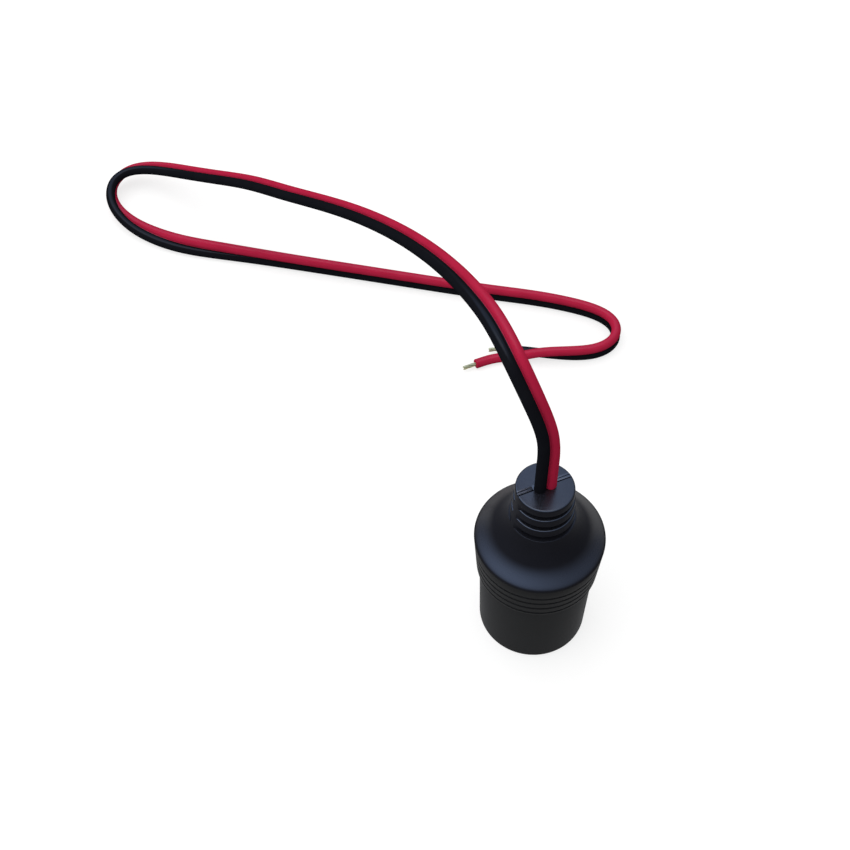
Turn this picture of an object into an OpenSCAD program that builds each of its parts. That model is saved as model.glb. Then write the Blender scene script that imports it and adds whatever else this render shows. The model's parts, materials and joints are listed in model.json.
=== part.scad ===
// Lighter socket with a flat twin lead, standing on its mouth.
// Origin at the centre of the mouth rim, +Z along the socket's axis towards the lead,
// +X along the parting line, from the black wire to the red one.

/* [Barrel] */
// Outer diameter of the barrel at its mouth
mouth_d = 27.5; // [26.8:0.1:28.6]
// Outer diameter of the barrel at the boot's lip
barrel_top_d = 28.8; // [28.2:0.1:30]
// Height of the barrel that shows below the boot
barrel_h = 25.1; // [20:0.1:30]
// Width of the opening in the plastic at the mouth
mouth_opening_d = 21.9; // [21.6:0.1:22.4]
// Height of the plastic lip in front of the metal shell
mouth_lip_h = 1.6; // [1.2:0.1:2.4]
// Chamfer that leads the plug in
lead_in = 0.8; // [0.4:0.1:1]
// Rounding of the barrel's outer edge at the mouth
mouth_edge_r = 0.6; // [0.3:0.1:1]

/* [Spigot inside the boot] */
// Outer diameter of the barrel's spigot
spigot_d = 27.2; // [26.6:0.1:27.6]
// Length of the spigot
spigot_h = 9.6; // [8:0.1:10.4]
// Height of the snap bead on the spigot, radially
bead_h = 0.35; // [0.2:0.05:0.4]
// Width of the snap bead
bead_w = 1.2; // [0.8:0.1:1.6]
// Distance of the snap bead above the boot's lip
bead_up = 5.9; // [5:0.1:7]

/* [Boot] */
// Outer diameter of the boot's lip
boot_lip_d = 30.5; // [30:0.1:31.4]
// Outer diameter of the boot's rim, the widest place
boot_rim_d = 32.4; // [31.6:0.1:34]
// Height of the grooved band, from the lip to the rim
band_h = 12.7; // [12:0.1:14]
// Height of the shoulder, from the rim to the neck
shoulder_h = 12.7; // [12:0.1:14]
// How far the shoulder goes on upright at the rim
rim_pull = 0.9; // [0.5:0.1:2.5]
// How far the neck's line is carried down into the shoulder
neck_pull = 6.7; // [5:0.1:8]
// Number of ring grooves
ring_n = 4; // [2:1:4]
// Distance from ring groove to ring groove
ring_pitch = 2.65; // [1.8:0.05:2.8]
// Height of the lowest ring groove above the boot's lip
ring_up = 1.1; // [1:0.1:1.8]
// Width of a ring groove
ring_w = 0.8; // [0.4:0.1:1]
// Depth of a ring groove
ring_depth = 0.3; // [0.2:0.05:0.4]

/* [Strain relief] */
// Diameter of the neck where it leaves the shoulder
neck_base_d = 15.7; // [15:0.1:16.4]
// Diameter of the neck at its top
neck_top_d = 14.2; // [13.8:0.1:14.8]
// Height of the neck above the shoulder
neck_h = 9.6; // [9:0.1:11]
// Rounding of the neck's top edge
neck_edge_r = 0.5; // [0.2:0.1:0.8]
// Number of slots, one above the other
slot_n = 3; // [2:1:3]
// Height of a slot
slot_h = 1.7; // [1.2:0.1:2.2]
// Distance from slot to slot
slot_pitch = 4; // [3:0.1:4.4]
// Thickness of the solid disc above the first slot
top_disc_h = 2.1; // [1.6:0.05:2.6]
// Depth of a slot at its middle, which runs out to nothing at its ends
slot_depth = 2; // [1:0.1:2.2]
// Width of the spines that join the ribs
spine_w = 1.4; // [1:0.1:2.4]
// Width of the raised parting line
flash_w = 0.5; // [0.3:0.1:0.8]
// Height of the raised parting line
flash_h = 0.15; // [0.1:0.05:0.3]

/* [Room inside the boot] */
// Width of the ledge with which the boot lies over the shell's flange
ledge_w = 1; // [0.8:0.1:1.2]
// Height of the room's straight wall above the washer
room_wall_h = 2.4; // [2:0.1:3]
// Diameter of the room's roof
room_top_d = 11.2; // [10.8:0.1:12]
// Thickness of the roof under the lowest slot
roof_t = 3.3; // [2.6:0.1:3.6]

/* [Metal shell] */
// Bore of the shell, which the plug goes into
bore_d = 21.3; // [21:0.05:21.4]
// Thickness of the shell's sheet
shell_t = 0.5; // [0.4:0.05:0.5]
// Length of the bore, from the mouth lip to the necked back
bore_h = 29.4; // [28:0.1:29.8]
// How much narrower the bore is in the necked back
neck_in = 0.6; // [0.4:0.1:0.8]
// Length of the necked back
necked_h = 5; // [4.7:0.1:5.2]
// Opening in the back flange
flange_hole_d = 12; // [11:0.1:12.4]
// Width of the seam of the rolled sheet
seam_w = 0.4; // [0.2:0.1:0.8]

/* [Centre contact] */
// Thickness of the insulator's disc
insulator_t = 1.9; // [1.5:0.1:2.2]
// Diameter of the insulator's back pad
pad_d = 14; // [13:0.1:14.4]
// Thickness of the back pad, which clears the small rivet's head
pad_t = 0.6; // [0.6:0.05:0.8]
// Height of the insulator's collar round the contact
collar_h = 0.8; // [0.5:0.1:1.2]
// Thickness of the insulator's collar
collar_t = 1; // [0.6:0.1:1.4]
// Outer diameter of the contact cup
cup_d = 10; // [9:0.1:11]
// Height of the contact cup
cup_h = 1.6; // [1.2:0.1:1.8]
// Thickness of the contact cup's sheet
cup_t = 0.5; // [0.4:0.05:0.6]
// Diameter of the centre rivet's shank
rivet_d = 3; // [2.4:0.1:3.4]
// Diameter of the centre rivet's domed head
rivet_head_d = 6; // [5:0.1:7]
// Height of the centre rivet's domed head
rivet_head_h = 1.5; // [1:0.1:1.8]
// Diameter of the centre rivet's closed end
closed_end_d = 4.6; // [4:0.1:5]
// Height of the centre rivet's closed end
closed_end_h = 0.8; // [0.5:0.1:1]
// Diameter of the insulating washer
washer_d = 13.4; // [13:0.1:13.8]
// Thickness of the insulating washer
washer_t = 0.8; // [0.6:0.1:1]

/* [Solder tags] */
// Thickness of both tags' sheet
tag_t = 0.5; // [0.4:0.05:0.6]
// Width of the positive tag
positive_tag_w = 3.4; // [3:0.1:4]
// Distance of the positive tag's leg from the axis, to its outer face
positive_reach = 5.2; // [4.8:0.1:5.6]
// Width of the negative tag
negative_tag_w = 3.4; // [3:0.1:4]
// Distance of the small rivet from the axis
ground_rivet_x = 8.9; // [8.7:0.1:9]
// Distance of the negative tag's leg from the axis, to its inner face
negative_reach = 7; // [6.9:0.1:7.1]
// Height of the tags' legs above the shell
leg_h = 4.6; // [4:0.1:5]
// Width of the tags' legs
leg_w = 3; // [2.6:0.1:3.2]
// Diameter of the small rivet's shank
ground_rivet_d = 1.5; // [1.2:0.1:1.7]
// Diameter of the small rivet's heads
ground_head_d = 2.3; // [2:0.1:2.4]
// Height of the small rivet's heads
ground_head_h = 0.5; // [0.3:0.05:0.55]
// Rim of the negative tag's plate beyond the small rivet's head
plate_rim = 0.3; // [0.1:0.05:0.4]

/* [Lead] */
// Diameter of one insulated wire
wire_d = 2.8; // [2.4:0.05:2.8]
// Thickness of the web between the two wires
web_t = 1.2; // [0.8:0.1:1.6]
// Diameter of the tinned strands
strand_d = 1.2; // [1:0.1:1.3]
// Length of the strands that stand out at the free ends
bare_h = 4; // [3:0.5:8]
// Width of a bead of solder on a tag's leg
solder_d = 2.8; // [2.6:0.1:3]
// Length of a tag's leg above its solder
leg_tip = 0.2; // [0.1:0.05:0.4]
// How far the strands go down past the middle of the solder
strand_grip = 1; // [0.6:0.1:1.2]

/* [Clearances] */
// Gap between pieces that slide over each other, on the radius
slip = 0.1; // [0.05:0.01:0.15]
// Gap between the boot's ledge and the barrel's end
end_play = 0.2; // [0.1:0.05:0.3]
// Gap between the lead and the boot that is moulded round it
grip_gap = 0.05; // [0.02:0.01:0.1]

/* [Hidden] */
$fn = 96;

// Heights along the axis
lip_z = barrel_h;
rim_z = lip_z + band_h;
neck_z = rim_z + shoulder_h;
top_z = neck_z + neck_h;
low_slot_z = top_z - top_disc_h - slot_h - (slot_n - 1) * slot_pitch;
spigot_z = lip_z + spigot_h;
necked_z = mouth_lip_h + bore_h;
flange_z = necked_z + necked_h;
pad_z = flange_z - shell_t - pad_t;
insulator_z = pad_z - insulator_t;
washer_z = flange_z + washer_t;
tag_z = washer_z + tag_t;
leg_z = flange_z + leg_h;

// Radii that follow from the sizes above
shell_r = bore_d / 2 + shell_t;
necked_r = bore_d / 2 - neck_in / 2;
barrel_bore_r = shell_r + slip;
boot_bore_r = spigot_d / 2 + slip;
core_r = neck_top_d / 2 - slot_depth;
room_r = necked_r - ledge_w;
wire_r = wire_d / 2;
pair = wire_d;

// Room for the tags and wires inside the boot
room_z = washer_z + room_wall_h;
room_top_z = low_slot_z - roof_t;

// A wire's bend inside the boot: its heights above the tags' legs and how far out it has gone at each
bend_up = [2.9, 2, 1.2];
bend_out = [0, 0.4, 0.75];
// Height above the roof's face at which a wire starts to bend
roof_straight = 0.3;
// Straight stretch of its strands at each end of their own bend
strand_straight = 0.8;

// How far a cutting shape runs past what it cuts
over = 1;
// How deep solids of one piece reach into each other, and solder into the strands that it wets
bite = 0.01;

// The lead's two wires, red at +X
red = 1;
black = -1;

// Smooth curve of the shoulder, from the rim up to the neck
function bezier(a, b, c, d, t) =
    a * pow(1 - t, 3) + b * 3 * t * pow(1 - t, 2) + c * 3 * t * t * (1 - t) + d * pow(t, 3);
shoulder_steps = 24;
shoulder = [for (i = [0 : shoulder_steps])
    bezier([boot_rim_d / 2, rim_z], [boot_rim_d / 2, rim_z + rim_pull],
           [neck_base_d / 2, neck_z - neck_pull], [neck_base_d / 2, neck_z], i / shoulder_steps)];
// Radius of the boot at a height, from the rim to the top of the neck
outside = concat(shoulder, [[neck_top_d / 2, top_z]]);
function outer_r(z) = lookup(z, [for (p = outside) [p[1], p[0]]]);

// A quarter of a circle from angle a to angle b, for rounded edges
edge_steps = 5;
function quarter(x, y, r, a, b) =
    [for (i = [0 : edge_steps]) let (t = a + (b - a) * i / edge_steps) [x + r * cos(t), y + r * sin(t)]];

// Route of the lead: x, y, height of its middle, and the turn of the pair about the line.
// At 180 the red wire is on the right of the way, at 270 below, at 360 on the left, at 450 above.
flat_z = 1.45;
edge_z = 2.85;
lead_route = [
    [0, 0, top_z, 180], [0, 0, 69, 180], [0, 0, 80, 180], [-3, 3, 91, 180], [-5, 10, 99, 180],
    [-5, 21, 101, 180], [-5, 34, 97, 180], [-5, 47, 91, 180], [-6, 61, 84, 180],
    [-7, 77, 74, 180], [-10, 95, 63, 180], [-14, 113, 51, 180], [-19, 130, 40, 180],
    [-24, 147, 30, 180], [-31, 163.5, 19, 180], [-37, 176.5, 11, 182], [-44, 186, 7, 188],
    [-52, 191, 5, 205], [-59, 188, 3.8, 250], [-61, 180, 3, 300], [-58.5, 171.5, 2.4, 340],
    [-53.5, 164, 2.1, 370], [-46.5, 156.5, 2.4, 395], [-38.5, 150.5, 2.7, 420],
    [-29, 144, edge_z, 440], [-16, 135, edge_z, 450], [0, 124, edge_z, 450],
    [16, 113, edge_z, 450], [32, 102, edge_z, 450], [45, 94, edge_z, 450],
    [54.5, 86.8, edge_z, 450], [61, 80.5, edge_z, 450], [63, 74.5, edge_z, 450],
    [60, 69.5, edge_z, 450], [53.5, 68, edge_z, 450], [46, 70.5, edge_z, 445],
    [38, 74.5, edge_z, 420], [31, 78, flat_z, 360]];
// The two wires part at the route's end and lie on the table
red_tail = [[31, 76.4, flat_z], [28, 78, flat_z], [24, 79, flat_z], [19, 79, flat_z]];
black_tail = [[32.6, 78.5, flat_z], [31, 80, flat_z], [30, 80.8, flat_z], [28.5, 81.2, flat_z]];
rings_per_span = 2;
tail_sides = 8;

// A smooth line near the points of a route, and its direction, t from 0 to the last point
function knot(route, i) = let (n = len(route) - 1)
    i < 0 ? 2 * route[0] - route[1] : i > n ? 2 * route[n] - route[n - 1] : route[i];
function weigh(route, i, w) =
    w[0] * knot(route, i - 1) + w[1] * knot(route, i) + w[2] * knot(route, i + 1) + w[3] * knot(route, i + 2);
function line_at(route, i, t) = weigh(route, i,
    [pow(1 - t, 3), 3 * pow(t, 3) - 6 * t * t + 4, 3 * t + 3 * t * t - 3 * pow(t, 3) + 1, pow(t, 3)] / 6);
function way_at(route, i, t) = weigh(route, i,
    [-pow(1 - t, 2), 3 * t * t - 4 * t, 1 + 2 * t - 3 * t * t, t * t] / 2);
function xyz(p) = [p[0], p[1], p[2]];
function unit(v) = v / norm(v);

// A ring of points across the line: level points to the right of the way, up is square to both.
// The steady pull towards +X keeps the ring from spinning where the line goes straight up.
steady = 0.5;
function ring(middle, way, turn, section) =
    let (ahead = unit(way),
         side = cross(ahead, [0, 0, 1]) + [steady, 0, 0],
         level = unit(side - ahead * (side * ahead)),
         up = cross(level, ahead),
         across = -cos(turn) * level + sin(turn) * up,
         through = cross(ahead, across))
    [for (p = section) middle + p[0] * across + p[1] * through];

// The figure-8 of the two wires with the web between them, red towards +x
pair_section = concat(
    [for (a = [-90 : 45 : 90]) [pair / 2 + wire_r * cos(a), wire_r * sin(a)]],
    [[0, web_t / 2]],
    [for (a = [90 : 45 : 270]) [-pair / 2 + wire_r * cos(a), wire_r * sin(a)]],
    [[0, -web_t / 2]]);
function round_section(r) =
    [for (i = [0 : tail_sides - 1]) let (a = i * 360 / tail_sides) [r * cos(a), r * sin(a)]];

// A closed tube through rings that all have the same number of points
module tube(rings) {
    n = len(rings);
    m = len(rings[0]);
    polyhedron(
        points = [for (r = rings) each r],
        faces = concat(
            [[for (j = [0 : m - 1]) j]],
            [for (i = [0 : n - 2], j = [0 : m - 1]) let (k = (j + 1) % m)
                [i * m + j, (i + 1) * m + j, (i + 1) * m + k, i * m + k]],
            [[for (j = [m - 1 : -1 : 0]) (n - 1) * m + j]]));
}

function route_rings(route, section, per_span) = let (n = len(route) - 1) concat(
    [for (i = [0 : n - 1], s = [0 : per_span - 1]) let (t = s / per_span, p = line_at(route, i, t))
        ring(xyz(p), xyz(way_at(route, i, t)), len(p) > 3 ? p[3] : 0, section)],
    [let (p = route[n])
        ring(xyz(p), xyz(way_at(route, n, 0)), len(p) > 3 ? p[3] : 0, section)]);

// A sheet-metal strip that lies on z, from x0 to x1
module strip(x0, x1, w, z) {
    translate([min(x0, x1), -w / 2, z]) cube([abs(x1 - x0), w, tag_t]);
}

module front_barrel() {
    color([0.10, 0.10, 0.11]) rotate_extrude() polygon(concat(
        [[mouth_opening_d / 2 + lead_in, 0]],
        quarter(mouth_d / 2 - mouth_edge_r, mouth_edge_r, mouth_edge_r, -90, 0),
        [[barrel_top_d / 2, lip_z],
         [spigot_d / 2, lip_z],
         [spigot_d / 2, lip_z + bead_up],
         [spigot_d / 2 + bead_h, lip_z + bead_up + bead_w / 2],
         [spigot_d / 2, lip_z + bead_up + bead_w],
         [spigot_d / 2, spigot_z],
         [barrel_bore_r, spigot_z],
         [barrel_bore_r, mouth_lip_h],
         [mouth_opening_d / 2, mouth_lip_h],
         [mouth_opening_d / 2, lead_in]]));
}

module rear_boot() {
    neck_edge = quarter(neck_top_d / 2 - neck_edge_r, top_z - neck_edge_r, neck_edge_r, 0, 90);
    color([0.13, 0.14, 0.18]) difference() {
        rotate_extrude()
            polygon(concat([[0, lip_z], [boot_lip_d / 2, lip_z]], shoulder, neck_edge, [[0, top_z]]));
        boot_inside();
        ring_grooves();
        neck_slots();
    }
    color([0.13, 0.14, 0.18]) parting_line();
}

// The room inside the boot: spigot, shell, tags and wires, then the way out for the lead
module boot_inside() {
    rotate_extrude() polygon([
        [0, lip_z - over],
        [boot_bore_r, lip_z - over],
        [boot_bore_r, lip_z + bead_up - slip],
        [boot_bore_r + bead_h, lip_z + bead_up + bead_w / 2],
        [boot_bore_r, lip_z + bead_up + bead_w + slip],
        [boot_bore_r, spigot_z + end_play],
        [barrel_bore_r, spigot_z + end_play],
        [barrel_bore_r, flange_z],
        [room_r, flange_z],
        [room_r, room_z],
        [room_top_d / 2, room_top_z],
        [0, room_top_z]]);
    // Notch in the ledge for the negative tag
    translate([-barrel_bore_r, -negative_tag_w / 2 - slip, flange_z - over])
        cube([barrel_bore_r, negative_tag_w + 2 * slip, over + tag_t + ground_head_h + slip]);
    lead_passage();
}

module lead_passage() {
    h = top_z - room_top_z + 2 * over;
    for (side = [red, black]) translate([side * pair / 2, 0, room_top_z - over])
        cylinder(h = h, r = wire_r + grip_gap);
    translate([-pair / 2, -web_t / 2 - grip_gap, room_top_z - over])
        cube([pair, web_t + 2 * grip_gap, h]);
}

module ring_grooves() {
    for (i = [0 : ring_n - 1]) {
        z = lip_z + ring_up + i * ring_pitch;
        r = boot_lip_d / 2 + (boot_rim_d - boot_lip_d) / 2 * (z - lip_z) / band_h;
        translate([0, 0, z - ring_w / 2]) difference() {
            cylinder(h = ring_w, r = r + over);
            translate([0, 0, -over]) cylinder(h = ring_w + 2 * over, r = r - ring_depth);
        }
    }
}

// Crescents cut from both sides, which leave a spine at each end of the parting line
module neck_slots() {
    for (i = [0 : slot_n - 1], side = [0, 180]) {
        low = low_slot_z + i * slot_pitch;
        r = outer_r(low);
        // The floor's arc touches the core at the slot's middle and meets the outside at the spines
        floor_shift = (r * r - core_r * core_r) / (2 * core_r - spine_w);
        translate([0, 0, low]) rotate([0, 0, side]) difference() {
            translate([-r - over, -r - over, 0]) cube([2 * (r + over), r + over - spine_w / 2, slot_h]);
            translate([0, floor_shift, -over])
                cylinder(h = slot_h + 2 * over, r = core_r + floor_shift);
        }
    }
}

// A thin raised line across the top, on both sides of the lead
module parting_line() {
    inner = pair / 2 + wire_r + grip_gap;
    outer = neck_top_d / 2 - neck_edge_r;
    for (side = [red, black])
        translate([side > 0 ? inner : -outer, -flash_w / 2, top_z]) cube([outer - inner, flash_w, flash_h]);
}

module ground_shell() {
    color([0.75, 0.75, 0.73]) difference() {
        rotate_extrude() polygon([
            [bore_d / 2 + shell_t / 2, mouth_lip_h],
            [shell_r, mouth_lip_h],
            [shell_r, necked_z],
            [necked_r + shell_t, necked_z + neck_in / 2],
            [necked_r + shell_t, flange_z],
            [flange_hole_d / 2, flange_z],
            [flange_hole_d / 2, flange_z - shell_t],
            [necked_r, flange_z - shell_t],
            [necked_r, necked_z + neck_in / 2],
            [bore_d / 2, necked_z],
            [bore_d / 2, mouth_lip_h + shell_t / 2]]);
        translate([-seam_w / 2, 0, mouth_lip_h - over]) cube([seam_w, shell_r + over, bore_h + over]);
        translate([-ground_rivet_x, 0, flange_z - shell_t - over])
            cylinder(h = shell_t + 2 * over, d = ground_rivet_d + 2 * grip_gap);
    }
}

module insulator() {
    boss_r = flange_hole_d / 2 - slip;
    collar_r = cup_d / 2 + slip;
    color([0.30, 0.16, 0.10]) difference() {
        union() {
            translate([0, 0, insulator_z]) cylinder(h = insulator_t, r = necked_r - slip);
            translate([0, 0, pad_z]) cylinder(h = pad_t, d = pad_d);
            translate([0, 0, flange_z - shell_t]) cylinder(h = shell_t, r = boss_r);
            translate([0, 0, insulator_z - collar_h]) cylinder(h = collar_h, r = collar_r + collar_t);
        }
        translate([0, 0, insulator_z - collar_h - over]) cylinder(h = collar_h + over, r = collar_r);
        translate([0, 0, insulator_z - over])
            cylinder(h = flange_z - insulator_z + 2 * over, r = rivet_d / 2 + grip_gap);
    }
}

module centre_contact() {
    color([0.80, 0.65, 0.35]) difference() {
        translate([0, 0, insulator_z - cup_h]) cylinder(h = cup_h, d = cup_d);
        translate([0, 0, insulator_z - cup_h - over]) {
            cylinder(h = cup_h + over - cup_t, d = cup_d - 2 * cup_t);
            cylinder(h = cup_h + 2 * over, r = rivet_d / 2 + grip_gap);
        }
    }
}

module centre_rivet() {
    seat_z = insulator_z - cup_t;
    head_r = rivet_head_d / 2;
    dome_r = (head_r * head_r + rivet_head_h * rivet_head_h) / (2 * rivet_head_h);
    color([0.85, 0.70, 0.40]) {
        translate([0, 0, seat_z - bite]) cylinder(h = tag_z - seat_z + closed_end_h / 2, d = rivet_d);
        translate([0, 0, tag_z])
            cylinder(h = closed_end_h, d1 = closed_end_d, d2 = closed_end_d - closed_end_h);
        intersection() {
            translate([0, 0, seat_z - rivet_head_h + dome_r]) sphere(r = dome_r);
            translate([0, 0, seat_z - rivet_head_h]) cylinder(h = rivet_head_h, r = head_r);
        }
    }
}

module insulating_washer() {
    color([0.55, 0.25, 0.18]) difference() {
        translate([0, 0, flange_z]) cylinder(h = washer_t, d = washer_d);
        translate([0, 0, flange_z - over]) cylinder(h = washer_t + 2 * over, r = rivet_d / 2 + grip_gap);
    }
}

// A ring under the rivet's closed end, and a leg bent up at its side
module positive_tag() {
    color([0.80, 0.80, 0.76]) difference() {
        union() {
            translate([0, 0, washer_z]) cylinder(h = tag_t, d = positive_tag_w + rivet_d / 2);
            strip(0, positive_reach, leg_w, washer_z);
            translate([positive_reach - tag_t, -leg_w / 2, washer_z]) cube([tag_t, leg_w, leg_z - washer_z]);
        }
        translate([0, 0, washer_z - over]) cylinder(h = tag_t + 2 * over, r = rivet_d / 2 + grip_gap);
    }
}

// A plate riveted to the shell's flange, and a leg bent up at its inner edge
module negative_tag() {
    plate_end = ground_rivet_x + ground_head_d / 2 + plate_rim;
    color([0.80, 0.80, 0.76]) difference() {
        union() {
            strip(-plate_end, -negative_reach, negative_tag_w, flange_z);
            translate([-negative_reach - tag_t, -leg_w / 2, flange_z]) cube([tag_t, leg_w, leg_h]);
        }
        translate([-ground_rivet_x, 0, flange_z - over])
            cylinder(h = tag_t + 2 * over, r = ground_rivet_d / 2 + grip_gap);
    }
}

module ground_rivet() {
    color([0.80, 0.80, 0.78]) translate([-ground_rivet_x, 0, 0]) {
        translate([0, 0, flange_z - shell_t - ground_head_h]) cylinder(h = ground_head_h, d = ground_head_d);
        translate([0, 0, flange_z - shell_t - bite])
            cylinder(h = shell_t + tag_t + 2 * bite, d = ground_rivet_d);
        translate([0, 0, flange_z + tag_t]) cylinder(h = ground_head_h, d = ground_head_d);
    }
}

// Where the bared strands lie against the legs, and the middle of the solder
red_foot_x = positive_reach - tag_t - strand_d / 2;
black_foot_x = negative_reach - strand_d / 2;
solder_z = leg_z - leg_tip - solder_d / 2;
strand_bottom_z = solder_z - strand_grip;

// One insulated wire inside the boot, in the YZ plane: down from the lead's exit, then outwards
function inner_route(foot) = let (y = pair / 2, out = foot - y)
    concat([[0, y, top_z], [0, y, (top_z + room_top_z) / 2], [0, y, room_top_z + roof_straight]],
           [for (i = [0 : len(bend_up) - 1]) [0, y + bend_out[i] * out, leg_z + bend_up[i]]]);
// Its bared strands, from the end of the insulation to the leg and down it
function strand_route(foot) =
    let (wire = inner_route(foot), n = len(wire) - 1, end = wire[n], ahead = unit(end - wire[n - 1]))
    [end, end + strand_straight * ahead, [0, foot, leg_z],
     [0, foot, solder_z + strand_straight], [0, foot, strand_bottom_z]];

// Sweeps a round wire along a route in the YZ plane, and turns it to its own side
module inner_sweep(side, route, r) {
    rotate([0, 0, -side * 90]) tube(route_rings(route, round_section(r), rings_per_span));
}

module red_inner_wire() {
    color([0.75, 0.06, 0.18]) inner_sweep(red, inner_route(red_foot_x), wire_r);
}

module black_inner_wire() {
    color([0.05, 0.05, 0.06]) inner_sweep(black, inner_route(black_foot_x), wire_r);
}

module red_inner_strands() {
    color([0.82, 0.82, 0.80]) inner_sweep(red, strand_route(red_foot_x), strand_d / 2);
}

module black_inner_strands() {
    color([0.82, 0.82, 0.80]) inner_sweep(black, strand_route(black_foot_x), strand_d / 2);
}

// A bead of solder round the strands, flat where it wets the leg's inner face
module solder(side, foot_x) {
    r = solder_d / 2;
    flat = strand_d / 2;
    color([0.70, 0.70, 0.70]) translate([side * foot_x, 0, solder_z - r]) difference() {
        intersection() {
            cylinder(h = solder_d, r = r);
            translate([side > 0 ? -r : -flat, -r, 0]) cube([r + flat, solder_d, solder_d]);
        }
        translate([0, 0, -over]) cylinder(h = solder_d + 2 * over, d = strand_d - 2 * bite);
    }
}

module red_solder() solder(red, red_foot_x);
module black_solder() solder(black, black_foot_x);

// The flat lead in one piece, its two wires parted at the end
module twin_lead() {
    color([0.75, 0.06, 0.18]) union() {
        tube(route_rings(lead_route, pair_section, rings_per_span));
        tube(route_rings(red_tail, round_section(wire_r), 1));
        tube(route_rings(black_tail, round_section(wire_r), 1));
    }
}

// Tinned strands that stand straight out of a tail
module bare_end(tail) {
    n = len(tail) - 1;
    run = tail[n] - tail[n - 1];
    color([0.82, 0.82, 0.80]) translate(tail[n]) rotate([0, 90, atan2(run[1], run[0])])
        cylinder(h = bare_h, d = strand_d);
}

module red_bare_end() bare_end(red_tail);
module black_bare_end() bare_end(black_tail);

front_barrel();
rear_boot();
ground_shell();
insulator();
centre_contact();
centre_rivet();
insulating_washer();
positive_tag();
negative_tag();
ground_rivet();
red_inner_wire();
black_inner_wire();
red_inner_strands();
black_inner_strands();
red_solder();
black_solder();
twin_lead();
red_bare_end();
black_bare_end();
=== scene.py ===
"""Lighter socket with a flat twin lead: moulded plastic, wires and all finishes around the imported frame.

Metres, +Z up, the socket standing on its mouth with the parting line along X.
"""

import json
import math

import bpy
from mathutils import Matrix, Vector


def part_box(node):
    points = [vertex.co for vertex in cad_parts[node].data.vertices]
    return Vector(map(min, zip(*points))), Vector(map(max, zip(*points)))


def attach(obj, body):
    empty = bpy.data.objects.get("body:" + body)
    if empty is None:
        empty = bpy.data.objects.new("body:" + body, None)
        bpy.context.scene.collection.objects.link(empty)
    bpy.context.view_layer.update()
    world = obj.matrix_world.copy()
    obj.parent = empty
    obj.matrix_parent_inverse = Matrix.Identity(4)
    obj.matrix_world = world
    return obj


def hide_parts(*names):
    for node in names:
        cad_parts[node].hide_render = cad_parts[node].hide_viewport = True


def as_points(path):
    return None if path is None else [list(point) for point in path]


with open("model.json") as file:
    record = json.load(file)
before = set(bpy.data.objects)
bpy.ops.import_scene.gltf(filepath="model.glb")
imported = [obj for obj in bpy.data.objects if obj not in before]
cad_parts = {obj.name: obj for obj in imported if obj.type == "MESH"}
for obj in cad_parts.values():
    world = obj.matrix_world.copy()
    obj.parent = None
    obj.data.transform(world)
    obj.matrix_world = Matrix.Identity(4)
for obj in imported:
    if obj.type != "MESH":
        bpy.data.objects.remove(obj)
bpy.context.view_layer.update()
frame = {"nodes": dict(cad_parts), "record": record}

MM = 0.001


# Sizes of the socket

_, barrel_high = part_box("front_barrel")
boot_low, boot_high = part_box("rear_boot")
shell_low, shell_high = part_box("ground_shell")

# How far the source's raised parting line stands above the neck's top
RIDGE_HEIGHT = 0.15 * MM
BAND_HEIGHT = 12.7 * MM
SHOULDER_HEIGHT = 12.7 * MM

mouth_r = 13.75 * MM
barrel_top_r = barrel_high.x
boot_lip_r = 15.25 * MM
rim_r = boot_high.x
neck_base_r = 7.85 * MM
neck_top_r = 7.1 * MM
lip_z = boot_low.z
rim_z = lip_z + BAND_HEIGHT
neck_z = rim_z + SHOULDER_HEIGHT
top_z = boot_high.z - RIDGE_HEIGHT


# Camera

PHOTO_SIDE_PX = 850
PHOTO_CENTRE_PX = PHOTO_SIDE_PX / 2
FOCAL_PX = 1600
SENSOR_WIDTH_MM = 36
# The point of the axis that was fitted, its place in the picture and its depth
AIM = Vector((0, 0, 30 * MM))
AIM_PX = (537.98, 551.57)
AIM_DEPTH = 399.55 * MM
CAMERA_ELEVATION = math.radians(55.17)
CAMERA_ROLL = math.radians(-0.05)
CAMERA_TURN = math.radians(-23)

turn_to_camera = Matrix.Rotation(CAMERA_TURN, 3, "Z")
level_right = turn_to_camera @ Vector((1, 0, 0))
level_ahead = turn_to_camera @ Vector((0, 1, 0))


def make_camera():
    """The camera at the place that the socket's outline gives."""
    ahead = math.cos(CAMERA_ELEVATION) * level_ahead + Vector((0, 0, -math.sin(CAMERA_ELEVATION)))
    rise = math.sin(CAMERA_ELEVATION) * level_ahead + Vector((0, 0, math.cos(CAMERA_ELEVATION)))
    right = math.cos(CAMERA_ROLL) * level_right + math.sin(CAMERA_ROLL) * rise
    up = math.cos(CAMERA_ROLL) * rise - math.sin(CAMERA_ROLL) * level_right
    aside = (AIM_PX[0] - PHOTO_CENTRE_PX) / FOCAL_PX
    below = (AIM_PX[1] - PHOTO_CENTRE_PX) / FOCAL_PX
    place = AIM - AIM_DEPTH * (ahead + aside * right - below * up)
    bpy.ops.object.camera_add(location=place)
    camera = bpy.context.object
    camera.name = "camera"
    axes = Matrix((right, up, -ahead)).transposed()
    camera.matrix_world = Matrix.Translation(place) @ axes.to_4x4()
    camera.data.sensor_width = SENSOR_WIDTH_MM
    camera.data.lens = FOCAL_PX / PHOTO_SIDE_PX * SENSOR_WIDTH_MM
    camera.data.clip_start = 10 * MM
    bpy.context.scene.camera = camera


make_camera()


# The lead's route: x, y and the height of its middle in millimetres, and the pair's turn in degrees.
# At 180 the red wire is on the right of the way, at 270 below, at 360 on the left, at 450 above.

EXIT_MM = top_z / MM
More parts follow.
